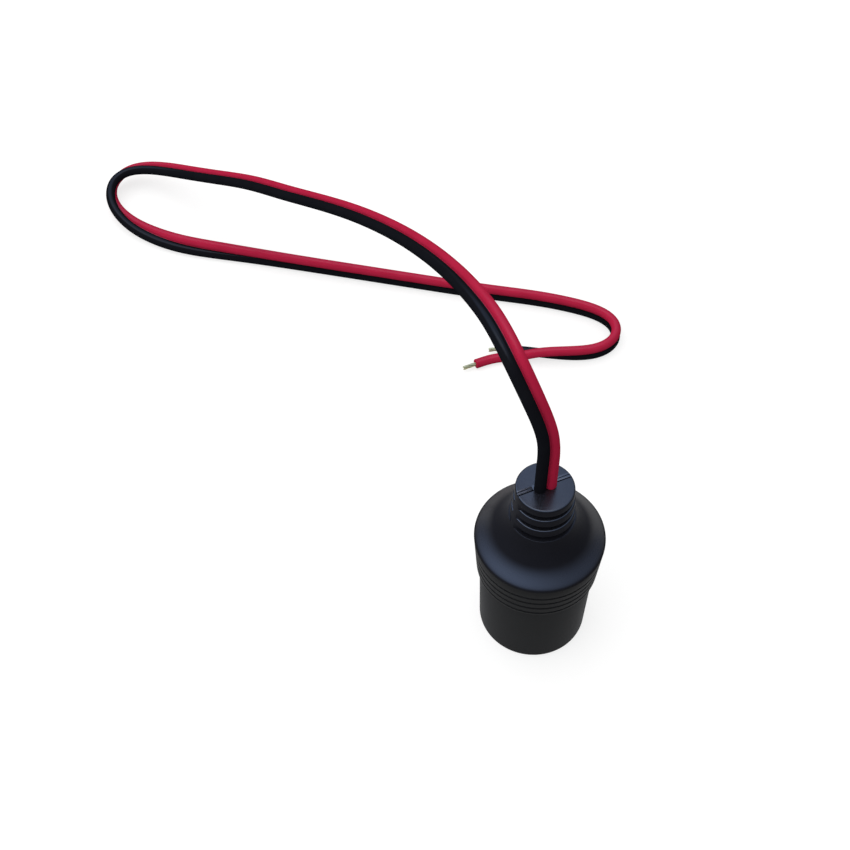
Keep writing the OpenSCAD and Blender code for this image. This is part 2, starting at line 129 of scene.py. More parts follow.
# Height of the middle where the pair lies flat on the table, and where it stands on its edge
FLAT_MM = 1.45
EDGE_MM = 2.85
LEAD_ROUTE = [
    (0, 0, EXIT_MM, 180), (0, 0, 69, 180), (0, 0, 80, 180), (-3, 3, 91, 180), (-5, 10, 99, 180),
    (-5, 21, 101, 180), (-5, 34, 97, 180), (-5, 47, 91, 180), (-6, 61, 84, 180),
    (-7, 77, 74, 180), (-10, 95, 63, 180), (-14, 113, 51, 180), (-19, 130, 40, 180),
    (-24, 147, 30, 180), (-31, 163.5, 19, 180), (-37, 176.5, 11, 182), (-44, 186, 7, 188),
    (-52, 191, 5, 205), (-59, 188, 3.8, 250), (-61, 180, 3, 300), (-58.5, 171.5, 2.4, 340),
    (-53.5, 164, 2.1, 370), (-46.5, 156.5, 2.4, 395), (-38.5, 150.5, 2.7, 420),
    (-29, 144, EDGE_MM, 440), (-16, 135, EDGE_MM, 450), (0, 124, EDGE_MM, 450),
    (16, 113, EDGE_MM, 450), (32, 102, EDGE_MM, 450), (45, 94, EDGE_MM, 450),
    (54.5, 86.8, EDGE_MM, 450), (61, 80.5, EDGE_MM, 450), (63, 74.5, EDGE_MM, 450),
    (60, 69.5, EDGE_MM, 450), (53.5, 68, EDGE_MM, 450), (46, 70.5, EDGE_MM, 445),
    (38, 74.5, EDGE_MM, 420), (31, 78, FLAT_MM, 360),
]
RED_TAIL = [(28, 78, FLAT_MM), (24, 79, FLAT_MM), (19, 79, FLAT_MM)]
BLACK_TAIL = [(31, 80, FLAT_MM), (30, 80.8, FLAT_MM), (28.5, 81.2, FLAT_MM)]
STEPS_PER_SPAN = 10
TAIL_STEPS = 6
# How many places of the line before its end are left out where the wires part
PARTING_PLACES = 4
# A pull towards +X that keeps the pair from spinning where the line goes straight up
STEADY = 0.5

wire_r = 1.4 * MM
WEB_HALF = 0.6 * MM
# How far the web reaches into each wire
WEB_REACH = 0.6 * wire_r
# How far the lead's foot stands in the boot
FOOT_DEPTH = 0.6 * MM
WIRE_SIDES = 24
# Rounding of a wire's cut end, and the hole that its strands stand in
CUT_EDGE = 0.12 * MM
WIRE_HOLE_R = 0.66 * MM
WIRE_HOLE_DEPTH = 0.7 * MM

RED = 1
BLACK = -1
# Across the UV map the lead is red up to the middle and black past it
UV_MIDDLE = 0.5
UV_WIDTHS = {RED: (0.0, 0.48), BLACK: (0.52, 1.0)}

# Points nearer than this are one point
MERGE = 0.001 * MM


def spline(points, steps):
    """A smooth line near a route's points, from the first to the last: each place and the way on."""
    rows = [Vector(p) for p in points]
    rows = [2 * rows[0] - rows[1], *rows, 2 * rows[-1] - rows[-2]]
    places = []
    for i in range(len(rows) - 3):
        a, b, c, d = rows[i:i + 4]
        last = i == len(rows) - 4
        for step in range(steps + last):
            t = step / steps
            middle = a * (1 - t) ** 3 + b * (3 * t**3 - 6 * t * t + 4)
            middle += c * (3 * t + 3 * t * t - 3 * t**3 + 1) + d * t**3
            way = a * -((1 - t) ** 2) + b * (3 * t * t - 4 * t) + c * (1 + 2 * t - 3 * t * t) + d * t * t
            places.append((middle / 6, way / 2))
    return places


def pair_places():
    """Along the lead: its middle, the way, the direction to the red wire, and that square to both."""
    found = []
    for middle, way in spline(LEAD_ROUTE, STEPS_PER_SPAN):
        ahead = Vector(way[:3]).normalized()
        side = ahead.cross(Vector((0, 0, 1))) + Vector((STEADY, 0, 0))
        level = (side - ahead * side.dot(ahead)).normalized()
        up = level.cross(ahead)
        turn = math.radians(middle[3])
        across = -math.cos(turn) * level + math.sin(turn) * up
        found.append((Vector(middle[:3]) * MM, ahead, across, ahead.cross(across)))
    return found


def select_only(made):
    """Makes this object the one that operators act on."""
    bpy.ops.object.select_all(action="DESELECT")
    made.select_set(True)
    bpy.context.view_layer.objects.active = made


def face_outwards(made):
    """Merges doubled points and turns all faces outwards."""
    select_only(made)
    bpy.ops.object.mode_set(mode="EDIT")
    bpy.ops.mesh.select_all(action="SELECT")
    bpy.ops.mesh.remove_doubles(threshold=MERGE)
    bpy.ops.mesh.normals_make_consistent(inside=False)
    bpy.ops.object.mode_set(mode="OBJECT")


def finish_piece(made, node, smooth_below=35):
    """Smooths the edges flatter than this many degrees and puts the piece in the stead of its node."""
    select_only(made)
    bpy.ops.object.shade_smooth_by_angle(angle=math.radians(smooth_below))
    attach(made, "root")
    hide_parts(node)


class Tubes:
    """Points, faces and UVs of several closed tubes in one mesh."""

    def __init__(self):
        self.points = []
        self.faces = []
        self.uvs = []

    def add(self, rings, along, u_start, u_end):
        """A tube through rings of as many points each; along gives each ring's distance in metres."""
        first, n = len(self.points), len(rings[0])
        for ring in rings:
            self.points += ring
        for i in range(len(rings) - 1):
            for j in range(n):
                k = (j + 1) % n
                a, b = first + i * n, first + (i + 1) * n
                self.faces.append((a + j, b + j, b + k, a + k))
                u0 = u_start + (u_end - u_start) * j / n
                u1 = u_start + (u_end - u_start) * (j + 1) / n
                self.uvs += [(u0, along[i]), (u0, along[i + 1]), (u1, along[i + 1]), (u1, along[i])]
        self.close(first, n, True, u_start, along[0])
        self.close(first + (len(rings) - 1) * n, n, False, u_start, along[-1])

    def close(self, first, n, turned, u, v):
        """One face over the ring that starts at this point."""
        corners = [first + j for j in range(n)]
        self.faces.append(tuple(corners if turned else reversed(corners)))
        self.uvs += [(u, v)] * n

    def make(self, name):
        """The object of all tubes, its faces outwards."""
        mesh = bpy.data.meshes.new(name)
        mesh.from_pydata(self.points, [], self.faces)
        layer = mesh.uv_layers.new(name="along")
        for corner, uv in zip(layer.data, self.uvs):
            corner.uv = uv
        made = bpy.data.objects.new(name, mesh)
        bpy.context.scene.collection.objects.link(made)
        face_outwards(made)
        return made


def round_ring(middle, side, up, r, sides=WIRE_SIDES):
    """Points of a circle about the middle."""
    turns = [2 * math.pi * j / sides for j in range(sides)]
    return [middle + r * (math.cos(a) * side + math.sin(a) * up) for a in turns]


def distances(middles):
    """How far each place lies from the first, along the line."""
    found = [0.0]
    for a, b in zip(middles, middles[1:]):
        found.append(found[-1] + (b - a).length)
    return found


def steady_frames(middles):
    """Along a wire: its middle, the way, and two directions square to it that turn as little as can be."""
    frames, side = [], None
    for i, middle in enumerate(middles):
        way = (middles[min(i + 1, len(middles) - 1)] - middles[max(i - 1, 0)]).normalized()
        if side is None:
            side = way.orthogonal().normalized()
        side = (side - way * side.dot(way)).normalized()
        frames.append((middle, way, side, way.cross(side)))
    return frames


def add_wire(tubes, which, places, tail):
    """Adds one insulated wire with its parted end, cut square round the strands, and gives its line."""
    middles = [middle + which * wire_r * across for middle, _, across, _ in places]
    middles[0] = middles[0] - places[0][1] * FOOT_DEPTH
    parted = [middles[-PARTING_PLACES] / MM, middles[-1] / MM, *tail]
    middles = middles[:-PARTING_PLACES] + [p * MM for p, _ in spline(parted, TAIL_STEPS)]
    frames = steady_frames(middles)
    rings = [round_ring(middle, side, up, wire_r) for middle, _, side, up in frames]
    middle, way, side, up = frames[-1]
    rings[-1] = round_ring(middle - CUT_EDGE * way, side, up, wire_r)
    along = distances(middles)
    for back, r in ((0, wire_r - CUT_EDGE), (0, WIRE_HOLE_R), (WIRE_HOLE_DEPTH, WIRE_HOLE_R)):
        rings.append(round_ring(middle - back * way, side, up, r))
        along.append(along[-1] + CUT_EDGE)
    tubes.add(rings, along, *UV_WIDTHS[which])
    return middles


def add_web(tubes, places):
    """Adds the thin web that joins the two wires, half red and half black, as far as the split."""
    places = places[:-PARTING_PLACES - 1]
    reach = RED * WEB_REACH
    # The red half's corners come first, so that it takes the first half of the UV map's width
    red_half = [(0, -WEB_HALF), (reach, -WEB_HALF), (reach, WEB_HALF)]
    corners = red_half + [(-x, -y) for x, y in red_half]
    rings = [
        [middle + x * across + y * through for x, y in corners]
        for middle, _, across, through in places]
    tubes.add(rings, distances([middle for middle, _, _, _ in places]), 0, 1)


def make_lead():
    """The flat twin lead of two wires and their web, its path, and the line of each wire."""
    tubes = Tubes()
    places = pair_places()
    red_line = add_wire(tubes, RED, places, RED_TAIL)
    black_line = add_wire(tubes, BLACK, places, BLACK_TAIL)
    add_web(tubes, places)
    made = tubes.make("twin_lead_insulation")
    finish_piece(made, "twin_lead", smooth_below=40)
    path = [middle for middle, _, _, _ in places[:-PARTING_PLACES]]
    path += red_line[-len(RED_TAIL) * TAIL_STEPS:]
    return made, path, red_line, black_line


# Stripped ends: tinned strands with a slight twist

STRAND_SIDES = 10
STRAND_R = 0.2 * MM
# Shares of that radius: strands press into each other a little, and taper at the tip
STRAND_SWELL = 1.04
STRAND_TIP = 0.75
BARE_LENGTH = 4 * MM
TWIST = math.radians(150)
TWIST_STEPS = 14
# How many steps short of the longest strand each one ends, and a step's share of the length
TIP_ORDER = [0, 1, 2, 3, 0, 1, 2]
TIP_STAGGER = 0.03
STRANDS = len(TIP_ORDER)


def make_bare_end(name, line, node):
    """The tinned strands that stand out of a wire: one in the middle and the rest twisted round it."""
    way = (line[-1] - line[-2]).normalized()
    side = way.orthogonal().normalized()
    up = way.cross(side)
    start = line[-1] - WIRE_HOLE_DEPTH * way
    whole = BARE_LENGTH + WIRE_HOLE_DEPTH
    tubes = Tubes()
    for i, stagger in enumerate(TIP_ORDER):
        away = 0 if i == STRANDS - 1 else 2 * STRAND_R
        length = whole * (1 - TIP_STAGGER * stagger)
        rings, along = [], []
        for step in range(TWIST_STEPS + 1):
            t = step / TWIST_STEPS
            turn = 2 * math.pi * i / (STRANDS - 1) + TWIST * t
            middle = start + way * length * t + away * (math.cos(turn) * side + math.sin(turn) * up)
            swell = STRAND_TIP if step == TWIST_STEPS else STRAND_SWELL
            rings.append(round_ring(middle, side, up, swell * STRAND_R, STRAND_SIDES))
            along.append(length * t)
        tubes.add(rings, along, i / STRANDS, (i + 1) / STRANDS)
    made = tubes.make(name)
    finish_piece(made, node, smooth_below=50)
    return made


lead, lead_path, red_line, black_line = make_lead()
red_strands = make_bare_end("red_strands", red_line, "red_bare_end")
black_strands = make_bare_end("black_strands", black_line, "black_bare_end")

# From the boot to the end of the red wire's insulation
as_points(lead_path)


# Turned and moulded plastic

SIDES = 128
# The closed profile runs down this close to the axis, inside what the lead's passage takes away
AXIS_R = 0.05 * MM


def bezier(a, b, c, d, t):
    """The place at share t of a Bezier curve with these four points."""
    return a * (1 - t) ** 3 + b * 3 * t * (1 - t) ** 2 + c * 3 * t * t * (1 - t) + d * t**3


def quarter(r, z, edge, start, end, steps=5):
    """Points of a rounded edge about (r, z), from one angle in degrees to another."""
    turns = [math.radians(start + (end - start) * i / steps) for i in range(steps + 1)]
    return [(r + edge * math.cos(a), z + edge * math.sin(a)) for a in turns]


def turned(name, profile):
    """A piece turned about the axis from a closed profile of (radius, height)."""
    radius, height = profile[0]
    bpy.ops.object.select_all(action="DESELECT")
    bpy.ops.mesh.primitive_circle_add(
        vertices=SIDES, radius=radius, location=(0, 0, height), fill_type="NOTHING")
    made = bpy.context.object
    made.name = name
    bpy.ops.object.transform_apply(location=True, rotation=False, scale=False)
    bpy.ops.object.mode_set(mode="EDIT")
    bpy.ops.mesh.select_mode(type="VERT")
    bpy.ops.mesh.select_all(action="SELECT")
    for r, z in [*profile[1:], profile[0]]:
        bpy.ops.mesh.extrude_region_move(TRANSFORM_OT_translate={"value": (0, 0, z - height)})
        bpy.ops.transform.resize(value=(r / radius, r / radius, 1), center_override=(0, 0, z))
        radius, height = r, z
    bpy.ops.object.mode_set(mode="OBJECT")
    face_outwards(made)
    return made


# The boot: lip and ring grooves

LIP_EDGE = 0.2 * MM
RING_COUNT = 4
RING_PITCH = 2.65 * MM
RING_UP = 1.1 * MM
RING_WIDTH = 0.8 * MM
RING_DEPTH = 0.3 * MM
# Slant of a groove's sides
RING_SLANT = 0.12 * MM

# The boot: shoulder and neck

SHOULDER_STEPS = 40
RIM_PULL = 0.9 * MM
NECK_PULL = 6.7 * MM
NECK_EDGE = 0.5 * MM
PASSAGE_GAP = 0.06 * MM
# The two parting lines across the top. For each: how far behind the axis its groove lies,
# the groove's width and depth, then the width and depth of the sloping lip behind it
PARTING_GROOVES = (
    (0.12 * MM, 0.3 * MM, 0.4 * MM, 0.5 * MM, 0.15 * MM),
    (0.94 * MM, 0.24 * MM, 0.35 * MM, 0.35 * MM, 0.1 * MM),
)
# How far from the wires they end
PARTING_GAP = 3 * PASSAGE_GAP

# The boot: crescent slots

SLOT_COUNT = 3
SLOT_HEIGHT = 1.7 * MM
SLOT_PITCH = 4 * MM
TOP_DISC = 2.1 * MM
CORE_R = 5.1 * MM
SPINE_WIDTH = 1.4 * MM
# Columns of faces on each side of the parting line that stay as a spine
SPINE_COLUMNS = 2
# Rounding of the outer edge below each slot, from the top slot down, and of the one above each
RIB_TOP_EDGES = (0.36 * MM, 0.36 * MM, 0.08 * MM)
RIB_FOOT_EDGE = 0.15 * MM
RIB_EDGE_SEGMENTS = 4
# An edge is rounded where its slot is at least this deep
ROUNDED_FROM = 0.35 * MM
# Points this near to the height and radius of an edge are on it
AT_EDGE = 0.01 * MM
# The outline has no points of its own within this distance of a slot
SLOT_CLEAR = 0.15 * MM
# Sides of the holes for the wires
HOLE_SIDES = 48

# The boot's inside

ROOF = 3.3 * MM
ROOM_TOP_R = 5.6 * MM
ROOM_R = 9.35 * MM
ROOM_WALL = 3.2 * MM
SHELL_SEAT_R = 11.25 * MM
SPIGOT_SEAT_R = 13.7 * MM
END_PLAY = 0.2 * MM


def shoulder_line():
    """The boot's ogee from the rim up to the neck."""
    return [
        (bezier(rim_r, rim_r, neck_base_r, neck_base_r, i / SHOULDER_STEPS),
         bezier(rim_z, rim_z + RIM_PULL, neck_z - NECK_PULL, neck_z, i / SHOULDER_STEPS))
        for i in range(SHOULDER_STEPS + 1)]


OUTLINE = [*shoulder_line(), (neck_top_r, top_z)]


def outer_r(z):
    """The boot's radius at a height from the rim to the top."""
    for (r0, z0), (r1, z1) in zip(OUTLINE, OUTLINE[1:]):
        if z <= z1:
            return r0 + (r1 - r0) * (z - z0) / (z1 - z0)
    return neck_top_r


def band_r(z):
    """The grooved band's radius at a height."""
    return boot_lip_r + (rim_r - boot_lip_r) * (z - lip_z) / BAND_HEIGHT


slot_floors = [top_z - TOP_DISC - SLOT_HEIGHT - i * SLOT_PITCH for i in range(SLOT_COUNT)]


def ring_groove(z):
    """A groove's corners from below to above."""
    low, high = z - RING_WIDTH / 2, z + RING_WIDTH / 2
    floor = band_r(z) - RING_DEPTH
    return [
        (band_r(low), low), (floor, low + RING_SLANT),
        (floor, high - RING_SLANT), (band_r(high), high)]


def boot_profile():
    """The boot's outside from the lip up to the neck's top, then its inside down again."""
    grooves = []
    for i in range(RING_COUNT):
        grooves += ring_groove(lip_z + RING_UP + i * RING_PITCH)
    heights = [
        z for _, z in OUTLINE[:-1]
        if not any(low - SLOT_CLEAR < z < low + SLOT_HEIGHT + SLOT_CLEAR for low in slot_floors)]
    heights += slot_floors + [low + SLOT_HEIGHT for low in slot_floors]
    roof_z = slot_floors[-1] - ROOF
    ledge_z = barrel_high.z + END_PLAY
    return [
        *quarter(boot_lip_r - LIP_EDGE, lip_z + LIP_EDGE, LIP_EDGE, -90, 0),
        *grooves,
        *[(outer_r(z), z) for z in sorted(heights)],
        *quarter(neck_top_r - NECK_EDGE, top_z - NECK_EDGE, NECK_EDGE, 0, 90),
        (AXIS_R, top_z),
        (AXIS_R, roof_z),
        (ROOM_TOP_R, roof_z),
        (ROOM_R, shell_high.z + ROOM_WALL),
        (ROOM_R, shell_high.z),
        (SHELL_SEAT_R, shell_high.z),
        (SHELL_SEAT_R, ledge_z),
        (SPIGOT_SEAT_R, ledge_z),
        (SPIGOT_SEAT_R, lip_z),
    ]


def slot_reach(low, x, y):
    """How near the axis a slot reaches in the direction of a point: an arc that runs out at the spines."""
    r = outer_r(low)
    shift = (r * r - CORE_R * CORE_R) / (2 * CORE_R - SPINE_WIDTH)
    sine = abs(y) / math.hypot(x, y)
    return math.sqrt((shift * sine) ** 2 + CORE_R * CORE_R + 2 * CORE_R * shift) - shift * sine


def start_selecting(made, kind):
    """Goes to faces or edges with none selected, and back to object mode, where code can select them."""
    select_only(made)
    bpy.ops.object.mode_set(mode="EDIT")
    bpy.ops.mesh.select_mode(type=kind)
    bpy.ops.mesh.select_all(action="DESELECT")
    bpy.ops.object.mode_set(mode="OBJECT")


def cut_slots(made):
    """Pushes each slot's faces in, and leaves a spine at each end of the parting line."""
    spine_turn = SPINE_COLUMNS * 2 * math.pi / SIDES
    for low in slot_floors:
        high = low + SLOT_HEIGHT
        start_selecting(made, "FACE")
        for face in made.data.polygons:
            middle = face.center
            away = math.hypot(middle.x, middle.y)
            turn = math.atan2(abs(middle.y), abs(middle.x))
            face.select = low < middle.z < high and away > ROOM_TOP_R and turn > spine_turn
        bpy.ops.object.mode_set(mode="EDIT")
        bpy.ops.mesh.extrude_region_move(TRANSFORM_OT_translate={"value": (0, 0, 0)})
        bpy.ops.object.mode_set(mode="OBJECT")
        for point in made.data.vertices:
            if point.select:
                now = math.hypot(point.co.x, point.co.y)
                share = min(slot_reach(low, point.co.x, point.co.y) / now, 1)
                point.co.x *= share
                point.co.y *= share
    face_outwards(made)


def round_rib(made, low, z, edge_r):
    """Rounds the outer edge at this height of the slot whose floor is at low."""
    start_selecting(made, "EDGE")
    points = made.data.vertices
    for edge in made.data.edges:
        ends = [points[i].co for i in edge.vertices]
        edge.select = all(
            abs(end.z - z) < AT_EDGE
            and abs(math.hypot(end.x, end.y) - outer_r(z)) < AT_EDGE
            and outer_r(z) - slot_reach(low, end.x, end.y) > ROUNDED_FROM
            for end in ends)
    bpy.ops.object.mode_set(mode="EDIT")
    bpy.ops.mesh.bevel(offset=edge_r, segments=RIB_EDGE_SEGMENTS, clamp_overlap=False)
    bpy.ops.object.mode_set(mode="OBJECT")


def cut_with(made, cutter):
    """Takes the cutter's shape out of the piece."""
    select_only(made)
    cut = made.modifiers.new("cut", "BOOLEAN")
    cut.operation = "DIFFERENCE"
    cut.solver = "EXACT"
    cut.object = cutter
    bpy.ops.object.modifier_apply(modifier=cut.name)
    bpy.data.objects.remove(cutter)


def block(name, low, high):
    """A block between two corners."""
    bpy.ops.object.select_all(action="DESELECT")
    bpy.ops.mesh.primitive_cube_add(size=1, location=(Vector(low) + Vector(high)) / 2)
    made = bpy.context.object
    made.name = name
    made.scale = Vector(high) - Vector(low)
    bpy.ops.object.transform_apply(location=True, rotation=False, scale=True)
    return made


def cut_passage(made):
    """The lead's way through the top: a hole for each wire and a slit for the web."""
    low, high = slot_floors[-1] - 2 * ROOF, top_z + ROOF
    hole_r = wire_r + PASSAGE_GAP
    slit = WEB_HALF + PASSAGE_GAP
    for which in (RED, BLACK):
        bpy.ops.object.select_all(action="DESELECT")
        bpy.ops.mesh.primitive_cylinder_add(
            vertices=HOLE_SIDES, radius=hole_r, depth=high - low,
            location=(which * wire_r, 0, (low + high) / 2))
        cut_with(made, bpy.context.object)
    cut_with(made, block("slit", (-wire_r, -slit, low), (wire_r, slit, high)))


def cut_parting_lines(made):
    """Cuts the parting lines across the top, on both sides of the lead."""
    inner = 2 * wire_r + PARTING_GAP
    outer = 2 * neck_top_r
    for which in (RED, BLACK):
        left, right = sorted((which * inner, which * outer))
        for line, width, depth, lip_width, lip_depth in PARTING_GROOVES:
            near, far = line - width / 2, line + width / 2
            above = top_z + depth
            cut_with(made, block("groove", (left, near, top_z - depth), (right, far, above)))
            lip = block("lip", (left, far, top_z - lip_depth), (right, far + lip_width, above))
            # The block's far bottom edge comes up to the top, which makes its underside the slope
            for point in lip.data.vertices:
                if point.co.z < top_z and point.co.y > far + lip_width / 2:
                    point.co.z = top_z
            cut_with(made, lip)


def make_boot():
    """The moulded boot with its ring grooves, shoulder and slotted neck."""
    made = turned("moulded_boot", boot_profile())
    cut_slots(made)
    for low, edge_r in zip(slot_floors, RIB_TOP_EDGES):
        round_rib(made, low, low, edge_r)
        round_rib(made, low, low + SLOT_HEIGHT, RIB_FOOT_EDGE)
    cut_passage(made)
    cut_parting_lines(made)
    finish_piece(made, "rear_boot")
    return made


# The barrel

MOUTH_EDGE = 0.6 * MM
LEAD_IN = 0.8 * MM
OPENING_R = 10.95 * MM
SPIGOT_R = 13.6 * MM
SPIGOT_EDGE = 0.3 * MM


def make_barrel():
    """The plain barrel with its rounded mouth and the spigot inside the boot."""
    profile = [
        (OPENING_R + LEAD_IN, 0),
        *quarter(mouth_r - MOUTH_EDGE, MOUTH_EDGE, MOUTH_EDGE, -90, 0),
        (barrel_top_r, lip_z),
        (SPIGOT_R, lip_z),
        *quarter(SPIGOT_R - SPIGOT_EDGE, barrel_high.z - SPIGOT_EDGE, SPIGOT_EDGE, 0, 90),
        (SHELL_SEAT_R, barrel_high.z),
        (SHELL_SEAT_R, shell_low.z),
        (OPENING_R, shell_low.z),
        (OPENING_R, LEAD_IN),
    ]
    made = turned("barrel", profile)
    finish_piece(made, "front_barrel")
    return made


boot = make_boot()
barrel = make_barrel()


# Materials

class Value:
    """A socket of a node tree. Sums on it add Math nodes."""

    def __init__(self, tree, socket=None):
        self.tree = tree
        self.socket = socket

    def node(self, kind, settings=None, inputs=None, output=0):
        """Adds a node of this kind, sets it up, then gives its sockets their values or links."""
        made = self.tree.nodes.new(kind)
        for name, value in (settings or {}).items():
            setattr(made, name, value)
        for name, value in (inputs or {}).items():
            if isinstance(value, Value):
                self.tree.links.new(value.socket, made.inputs[name])
            else:
                made.inputs[name].default_value = value
        return Value(self.tree, made.outputs[output])

    def maths(self, operation, a, b):
        return self.node("ShaderNodeMath", {"operation": operation}, {0: a, 1: b})

    def __add__(self, other):
        return self.maths("ADD", self, other)

    def __radd__(self, other):
        return self.maths("ADD", other, self)

    def __sub__(self, other):
        return self.maths("SUBTRACT", self, other)

    def __rsub__(self, other):
        return self.maths("SUBTRACT", other, self)

    def __mul__(self, other):
        return self.maths("MULTIPLY", self, other)

    def __rmul__(self, other):
        return self.maths("MULTIPLY", other, self)

    def __gt__(self, other):
        return self.maths("GREATER_THAN", self, other)

    def rise(self, low, high):
        """A smooth step from 0 where the value is low to 1 where it is high."""
        return self.node(
            "ShaderNodeMapRange", {"interpolation_type": "SMOOTHSTEP"},
            {"Value": self, "From Min": low, "From Max": high}, "Result")

    def within(self, start, end):
        """1 between two smooth steps, each given as its low and high, and 0 outside them."""
        return self.rise(*start) - self.rise(*end)

    def about(self, middle, spread):
        """From middle - spread to middle + spread as the value goes from 0 to 1."""
        return middle - spread + 2 * spread * self

    def part(self, axis):
        """One axis of a vector."""
        return self.node("ShaderNodeSeparateXYZ", {}, {"Vector": self}, axis)

    def towards(self, direction):
        """How far a vector goes in a direction."""
        return self.node(
            "ShaderNodeVectorMath", {"operation": "DOT_PRODUCT"}, {0: self, 1: direction}, "Value")

    def scaled(self, shares):
        """A vector or colour with each of its parts times a share."""
        return self.node("ShaderNodeVectorMath", {"operation": "MULTIPLY"}, {0: self, 1: shares})

    def noise(self, scale, detail=2.0, rough=0.5):
        """Noise over a vector, with so many lumps to each unit of it."""
        return self.node("ShaderNodeTexNoise", {}, {
            "Vector": self, "Scale": scale, "Detail": detail, "Roughness": rough}, "Fac")

    def mix(self, low, high):
        """A colour between two others, where this value is the share of the second."""
        return self.node("ShaderNodeMix", {"data_type": "RGBA"}, {"Factor": self, "A": low, "B": high}, 2)


BUMP_STRENGTH = 0.5


class Finish:
    """A material with one Principled shader."""

    def __init__(self, name, constants):
        self.material = bpy.data.materials.new(name)
        self.material.use_nodes = True
        tree = self.material.node_tree
        self.shader = tree.nodes["Principled BSDF"]
        for socket, value in constants.items():
            self.shader.inputs[socket].default_value = value
        coordinates = tree.nodes.new("ShaderNodeTexCoord")
        self.place = Value(tree, coordinates.outputs["Object"])
        self.facing = Value(tree, coordinates.outputs["Normal"])
        self.uv = Value(tree, coordinates.outputs["UV"])

    def noise(self, size, detail=2.0, rough=0.5, stretch=None):
        """Noise with lumps of about this size in metres, and longer along an axis with a share under 1."""
        place = self.place.scaled(stretch) if stretch else self.place
        return place.noise(1 / size, detail, rough)

    def set(self, socket, value):
        """Links a value to the shader's socket."""
        self.material.node_tree.links.new(value.socket, self.shader.inputs[socket])

    def bump(self, height, depth):
        """Raises the surface by the height's share of a depth."""
        self.set("Normal", height.node(
            "ShaderNodeBump", {}, {"Height": height, "Distance": depth, "Strength": BUMP_STRENGTH}))


# Blacks of the barrel, of the grooved band and of the boot above its rim
BARREL_BLACK = (0.0172, 0.0176, 0.0186)
BAND_BLACK = (0.0122, 0.0125, 0.0131)
# Above the rim the boot's black is darker and bluer than the band's: painted shade and painted sky
# reflection
PAINTED_SHADE_TOP_BLACK = (0.0090, 0.0093, 0.0126)
# Lumps of the cloudy sheen, and what they and the grain add to the roughness
CLOUD_SIZE = 7 * MM
SATIN_ROUGHNESS = 0.42
CLOUD_ROUGHNESS = 0.06
GRAIN_ROUGHNESS = 0.05
GRAIN_DEPTH = 0.02 * MM

# The boot's sheen: a thin strong coat shines less at a glancing view than a full weak one
COAT_IOR = 2.5
COAT = 0.26
COAT_ROUGHNESS = 0.24
# It sets in between these heights at the rim, and as the surface turns up
SHEEN_HEIGHT = (rim_z - 0.2 * MM, rim_z + 0.6 * MM)
SHEEN_FACING = (0.66, 0.765)
# How much of it the ledge below the lowest slot lacks, and the heights where that sets in and ends
LEDGE_DULL = 0.6
LEDGE_LOW = (slot_floors[-1] - 2.5 * MM, slot_floors[-1] - 1.2 * MM)
LEDGE_HIGH = (slot_floors[-1] + 0.3 * MM, slot_floors[-1] + 0.9 * MM)
# How much more of it the lips of the parting lines have, where they lie behind the axis, and how high
PARTING_SHEEN = 0.8
PARTING_NEAR = (0.2 * MM, 0.4 * MM)
PARTING_FAR = (1.35 * MM, 1.5 * MM)
PARTING_HEIGHT = (top_z - 0.7 * MM, top_z - 0.4 * MM)

# The lead's colours, each from its darkest to its lightest, and its sheen where it faces up
LEAD_RED = ((0.365, 0.012, 0.041, 1), (0.455, 0.019, 0.059, 1))
LEAD_BLACK = ((0.0055, 0.0058, 0.0080, 1), (0.0085, 0.0090, 0.0120, 1))
LEAD_COAT = 0.06
LEAD_COAT_ROUGHNESS = 0.16
LEAD_FACING = (0.85, 0.98)
# Faint lines along it: how many lumps of noise lie across the UV map and along a metre
LEAD_LINES = (60, 25, 1)
LINE_DEPTH = 0.03 * MM


def shade(colour, share):
    """A colour made darker or lighter, as a shader's socket takes it."""
    return (*[share * c for c in colour], 1)


def satin_black(name, specular, grain):
    """Black moulded plastic with a fine grain and a faintly cloudy sheen; its colour is still to be set."""
    finish = Finish(name, {
        "Specular IOR Level": specular, "Coat Roughness": COAT_ROUGHNESS, "Coat IOR": COAT_IOR})
    finish.clouds = finish.noise(CLOUD_SIZE, detail=3)
    fine = finish.noise(grain, rough=0.6)
    finish.set("Roughness", SATIN_ROUGHNESS + CLOUD_ROUGHNESS * finish.clouds + GRAIN_ROUGHNESS * fine)
    finish.bump(fine, GRAIN_DEPTH)
    return finish


def mottled(finish, colour, spread):
    """A colour that the clouds make darker and lighter by a share."""
    return finish.clouds.mix(shade(colour, 1 - spread), shade(colour, 1 + spread))


def barrel_plastic():
    """The barrel's duller plastic."""
    finish = satin_black("barrel_black", specular=0.012, grain=0.22 * MM)
    finish.set("Base Color", mottled(finish, BARREL_BLACK, spread=0.15))
    return finish.material


def boot_plastic():
    """The boot's plastic: dull on walls and the grooved band, shining where it is flat or slopes gently."""
    finish = satin_black("boot_black", specular=0.02, grain=0.25 * MM)
    height = finish.place.part("Z")
    above = height.rise(*SHEEN_HEIGHT)
    band = mottled(finish, BAND_BLACK, spread=0.2)
    top = mottled(finish, PAINTED_SHADE_TOP_BLACK, spread=0.2)
    # The darker, bluer black above the rim is painted shade and painted sky reflection on the same plastic
    finish.set("Base Color", above.mix(band, top))
    ledge = height.within(LEDGE_LOW, LEDGE_HIGH)
    parting = finish.place.part("Y").within(PARTING_NEAR, PARTING_FAR) * height.rise(*PARTING_HEIGHT)
    coat = COAT * above * finish.facing.part("Z").rise(*SHEEN_FACING)
    finish.set("Coat Weight", coat * (1 - LEDGE_DULL * ledge + PARTING_SHEEN * parting))
    return finish.material


